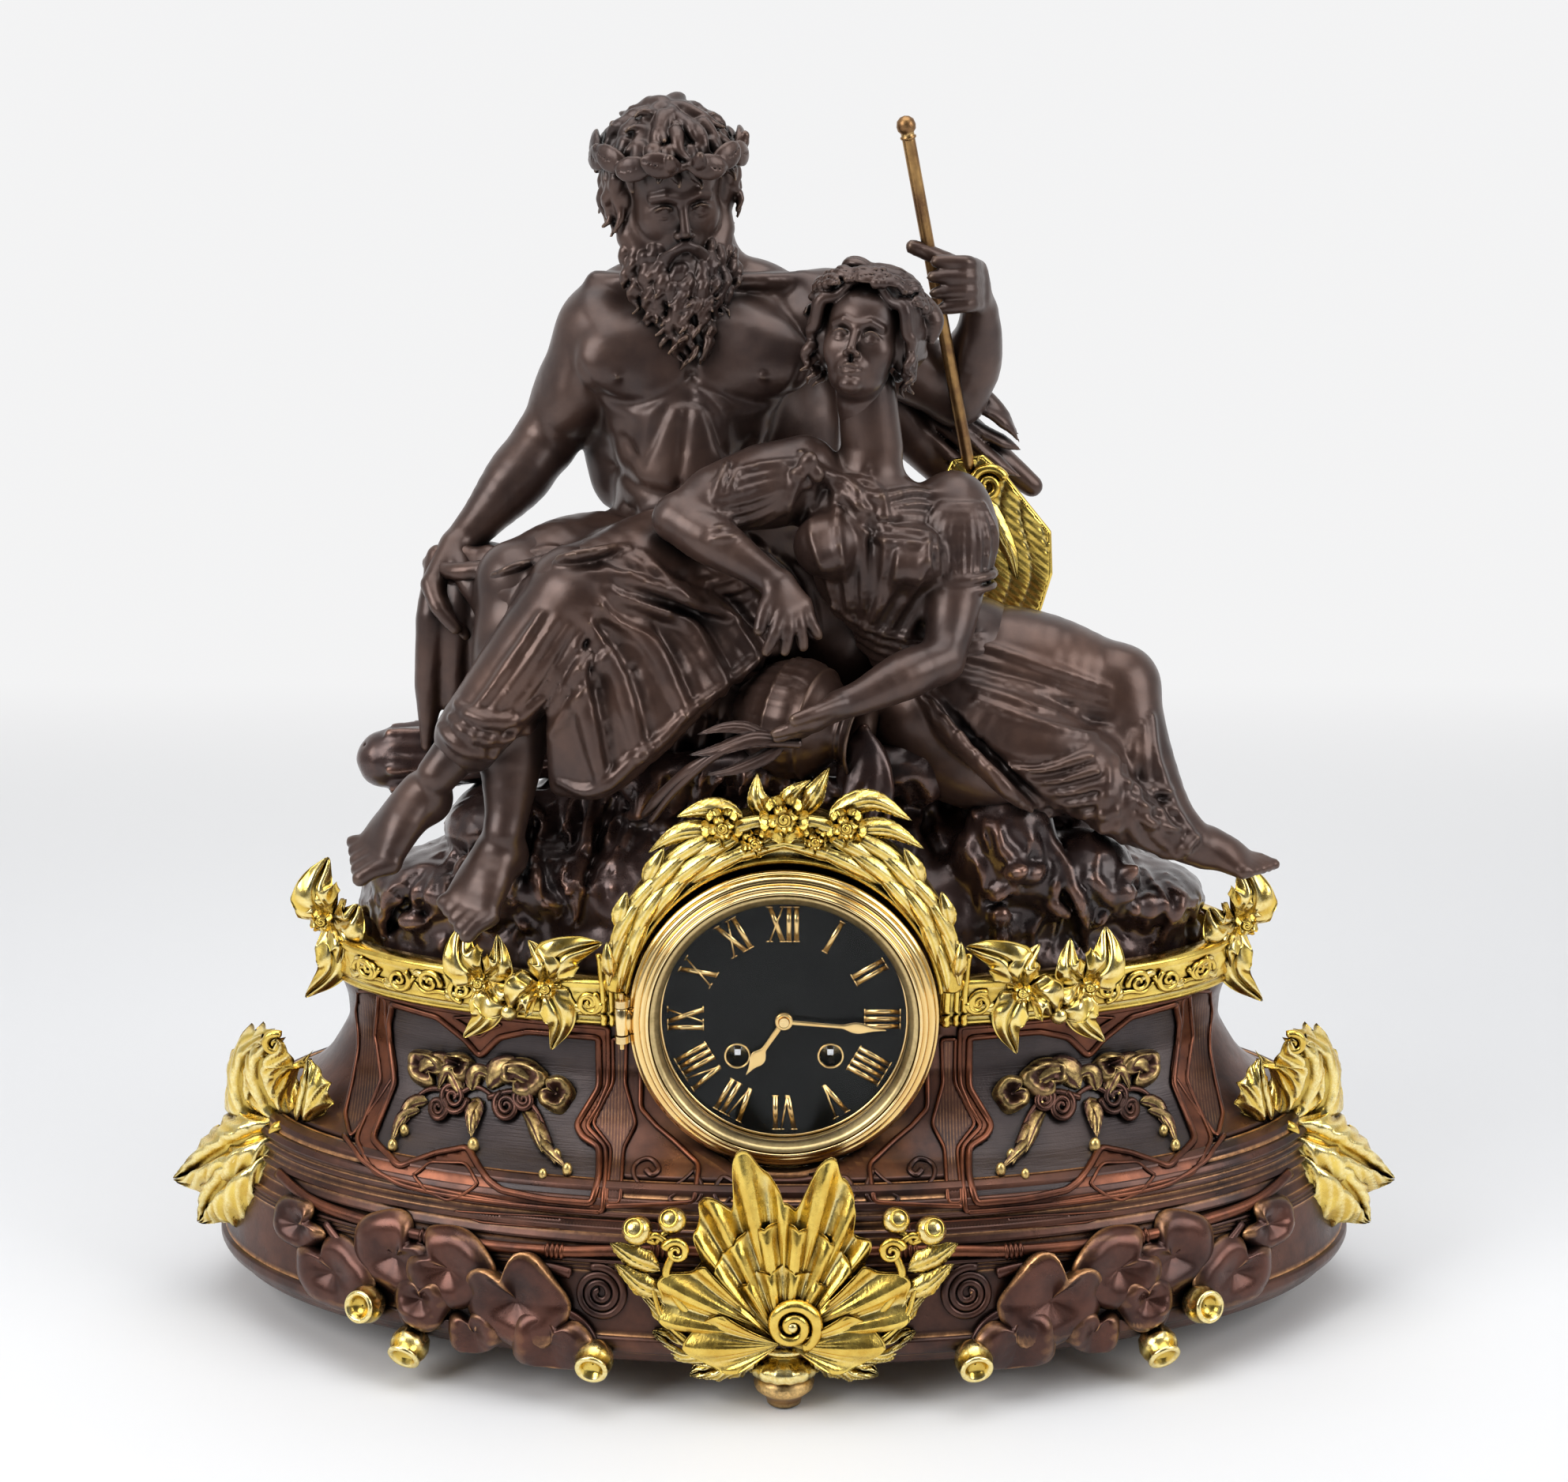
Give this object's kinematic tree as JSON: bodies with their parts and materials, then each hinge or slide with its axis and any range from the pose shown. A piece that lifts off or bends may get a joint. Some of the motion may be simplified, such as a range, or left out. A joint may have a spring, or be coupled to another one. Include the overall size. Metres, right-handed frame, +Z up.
{
  "type": "figural mantel clock",
  "caption": "Oval cased mantel clock with a round dial and striking movement, topped by a seated river god and a reclining nymph on a rock.",
  "frame": {"origin": "centre of the oval base on the surface that the three feet stand on", "axes": "+Z up, -Y towards the viewer out of the dial, +X to the viewer's right"},
  "size_m": [0.6716, 0.3485, 0.6334],
  "materials": {
    "copper_patina": "copper-brown patina on cast zinc",
    "gilt_mount": "bright gilding over brass",
    "figure_patina": "dark brown satin patina on cast zinc",
    "rock_patina": "dark brown glossy patina",
    "bezel_brass": "polished pinkish gilt brass",
    "bezel_glass": "clear bevelled glass",
    "dial_black": "polished black slate",
    "hand_gilt": "polished gilt",
    "movement_brass": "lacquered brass",
    "movement_steel": "polished steel",
    "bell_metal": "bell metal"
  },
  "bodies": {
    "case": {"back_plate": "movement_brass", "bell": "bell_metal", "bell_stand": "movement_steel", "case_body": "copper_patina", "corner_leaves": "gilt_mount", "dial": "dial_black", "dial_arch": "gilt_mount", "drum": "movement_brass", "feet": "gilt_mount", "frieze_flowers": "gilt_mount", "front_plate": "movement_brass", "god_drapery": "figure_patina", "god_head": "figure_patina", "god_left_arm": "figure_patina", "god_legs": "figure_patina", "god_right_arm": "figure_patina", "god_torso": "figure_patina", "movement_straps": "movement_steel", "nymph_head": "figure_patina", "nymph_left_arm": "figure_patina", "nymph_right_arm": "figure_patina", "nymph_skirt": "figure_patina", "nymph_torso": "figure_patina", "oar": "gilt_mount", "panel_sprays": "gilt_mount", "plate_pillars": "movement_brass", "plinth": "copper_patina", "plinth_buds": "gilt_mount", "plinth_leaves": "copper_patina", "rear_ring": "bezel_brass", "reed_branch": "figure_patina", "rock_mound": "rock_patina", "seat_ring": "bezel_brass", "shell_mount": "gilt_mount", "suspension_cock": "movement_brass", "top_frieze": "gilt_mount", "tree_stump": "rock_patina", "urn": "figure_patina", "water_stream": "figure_patina"},
    "bezel": {"bezel": "bezel_brass", "bezel_glass": "bezel_glass"},
    "rear_door": {"rear_door": "bezel_brass"},
    "minute_hand": {"minute_hand": "hand_gilt"},
    "hour_hand": {"hour_hand": "hand_gilt"},
    "minute_wheel": {"minute_wheel": "movement_brass"},
    "going_arbor": {"going_winding_arbor": "movement_steel"},
    "strike_arbor": {"strike_winding_arbor": "movement_steel"},
    "going_barrel": {"going_barrel": "movement_brass"},
    "strike_barrel": {"strike_barrel": "movement_brass"},
    "second_wheel": {"second_wheel": "movement_brass"},
    "centre_wheel": {"centre_wheel": "movement_brass"},
    "third_wheel": {"third_wheel": "movement_brass"},
    "escape_wheel": {"escape_wheel": "movement_brass"},
    "pin_wheel": {"pin_wheel": "movement_brass"},
    "lock_wheel": {"lock_wheel": "movement_brass"},
    "fly": {"fly": "movement_brass"},
    "hammer": {"hammer": "movement_steel"},
    "pendulum": {"pendulum": "movement_brass"},
    "anchor_crutch": {"anchor_crutch": "movement_steel"}
  },
  "joints": [
    {"name": "bezel_hinge", "type": "hinge", "parent": "case", "child": "bezel", "pos_m": [-0.0796, -0.1299, 0.187], "axis": [0, 0, -1], "range_deg": [0, 15]},
    {"name": "rear_door_hinge", "type": "hinge", "parent": "case", "child": "rear_door", "pos_m": [-0.0756, 0.1149, 0.187], "axis": [0, 0, 1], "range_deg": [0, 110]},
    {"name": "minute_hand_turn", "type": "hinge", "parent": "case", "child": "minute_hand", "pos_m": [0, -0.13, 0.187], "axis": [0, 1, 0], "continuous": true},
    {"name": "hour_hand_turn", "type": "hinge", "parent": "case", "child": "hour_hand", "pos_m": [0, -0.128, 0.187], "axis": [0, 1, 0], "continuous": true},
    {"name": "minute_wheel_turn", "type": "hinge", "parent": "case", "child": "minute_wheel", "pos_m": [-0.00552, -0.113, 0.19738], "axis": [0, 1, 0], "continuous": true},
    {"name": "going_winding", "type": "hinge", "parent": "case", "child": "going_arbor", "pos_m": [0.023, -0.095, 0.168], "axis": [0, 1, 0], "continuous": true},
    {"name": "strike_winding", "type": "hinge", "parent": "case", "child": "strike_arbor", "pos_m": [-0.023, -0.095, 0.168], "axis": [0, 1, 0], "continuous": true},
    {"name": "escape_turn", "type": "hinge", "parent": "case", "child": "escape_wheel", "pos_m": [0, -0.095, 0.21702], "axis": [0, 1, 0], "continuous": true},
    {"name": "third_turn", "type": "hinge", "parent": "case", "child": "third_wheel", "pos_m": [0.00349, -0.095, 0.20335], "axis": [0, 1, 0], "continuous": true},
    {"name": "centre_turn", "type": "hinge", "parent": "case", "child": "centre_wheel", "pos_m": [0, -0.095, 0.187], "axis": [0, 1, 0], "continuous": true},
    {"name": "second_turn", "type": "hinge", "parent": "case", "child": "second_wheel", "pos_m": [0.01605, -0.095, 0.19197], "axis": [0, 1, 0], "continuous": true},
    {"name": "going_barrel_turn", "type": "hinge", "parent": "case", "child": "going_barrel", "pos_m": [0.023, -0.095, 0.168], "axis": [0, 1, 0], "continuous": true},
    {"name": "fly_turn", "type": "hinge", "parent": "case", "child": "fly", "pos_m": [-0.01527, -0.095, 0.21595], "axis": [0, 1, 0], "continuous": true},
    {"name": "lock_turn", "type": "hinge", "parent": "case", "child": "lock_wheel", "pos_m": [-0.02103, -0.095, 0.20597], "axis": [0, 1, 0], "continuous": true},
    {"name": "pin_turn", "type": "hinge", "parent": "case", "child": "pin_wheel", "pos_m": [-0.01867, -0.095, 0.19258], "axis": [0, 1, 0], "continuous": true},
    {"name": "strike_barrel_turn", "type": "hinge", "parent": "case", "child": "strike_barrel", "pos_m": [-0.023, -0.095, 0.168], "axis": [0, 1, 0], "continuous": true},
    {"name": "pendulum_swing", "type": "hinge", "parent": "case", "child": "pendulum", "pos_m": [0, -0.066, 0.2285], "axis": [0, 1, 0], "range_deg": [-3, 3]},
    {"name": "crutch_swing", "type": "hinge", "parent": "case", "child": "anchor_crutch", "pos_m": [0, -0.071, 0.2285], "axis": [0, 1, 0], "range_deg": [-3, 3]},
    {"name": "hammer_lift", "type": "hinge", "parent": "case", "child": "hammer", "pos_m": [-0.04, -0.06, 0.203], "axis": [0, 1, 0], "range_deg": [0, 18]}
  ],
  "couplings": [
    {"joint": "minute_hand_turn", "follows": "centre_turn", "ratio": 1},
    {"joint": "hour_hand_turn", "follows": "centre_turn", "ratio": 0.083333},
    {"joint": "minute_wheel_turn", "follows": "centre_turn", "ratio": -0.33333},
    {"joint": "third_turn", "follows": "centre_turn", "ratio": -10},
    {"joint": "escape_turn", "follows": "centre_turn", "ratio": 93.75},
    {"joint": "second_turn", "follows": "centre_turn", "ratio": -0.16667},
    {"joint": "going_barrel_turn", "follows": "centre_turn", "ratio": 0.02381},
    {"joint": "lock_turn", "follows": "pin_turn", "ratio": -7.5},
    {"joint": "fly_turn", "follows": "pin_turn", "ratio": 52.5},
    {"joint": "strike_barrel_turn", "follows": "pin_turn", "ratio": -0.14286},
    {"joint": "crutch_swing", "follows": "pendulum_swing", "ratio": 1}
  ]
}
